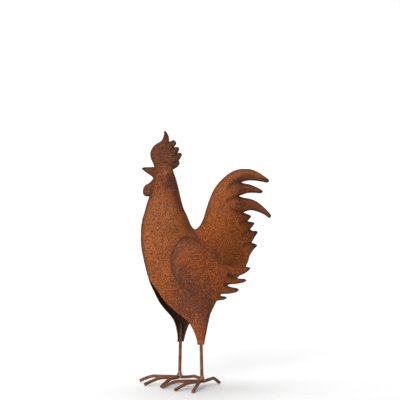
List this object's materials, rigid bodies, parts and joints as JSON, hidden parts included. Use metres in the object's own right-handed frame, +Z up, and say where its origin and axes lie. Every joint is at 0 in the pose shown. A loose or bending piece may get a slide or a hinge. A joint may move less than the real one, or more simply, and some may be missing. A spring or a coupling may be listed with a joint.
{
  "type": "sheet steel rooster garden sculpture",
  "caption": "Standing rooster of pressed rusty sheet steel, two welded halves with separate wings, on rod legs with bent rod toes.",
  "frame": {"origin": "on the ground, midway between the two legs", "axes": "+X towards the tail, +Y towards the right side, +Z up"},
  "size_m": [0.316, 0.1707, 0.4687],
  "materials": {
    "body_sheet": "matte orange-brown rust with darker specks",
    "wing_sheet": "matte orange-brown rust, purple-brown at the borders",
    "rod": "smooth brown rust",
    "braze": "golden brown, dull"
  },
  "bodies": {
    "root": {"half_left": "body_sheet", "half_right": "body_sheet", "wing_left": "wing_sheet", "wing_right": "wing_sheet", "leg_left": "rod", "leg_right": "rod", "toe_left_outer": "rod", "toe_left_middle": "rod", "toe_left_inner": "rod", "toe_left_back": "rod", "toe_right_outer": "rod", "toe_right_middle": "rod", "toe_right_inner": "rod", "toe_right_back": "rod", "weld_left": "braze", "weld_right": "braze"}
  },
  "joints": []
}
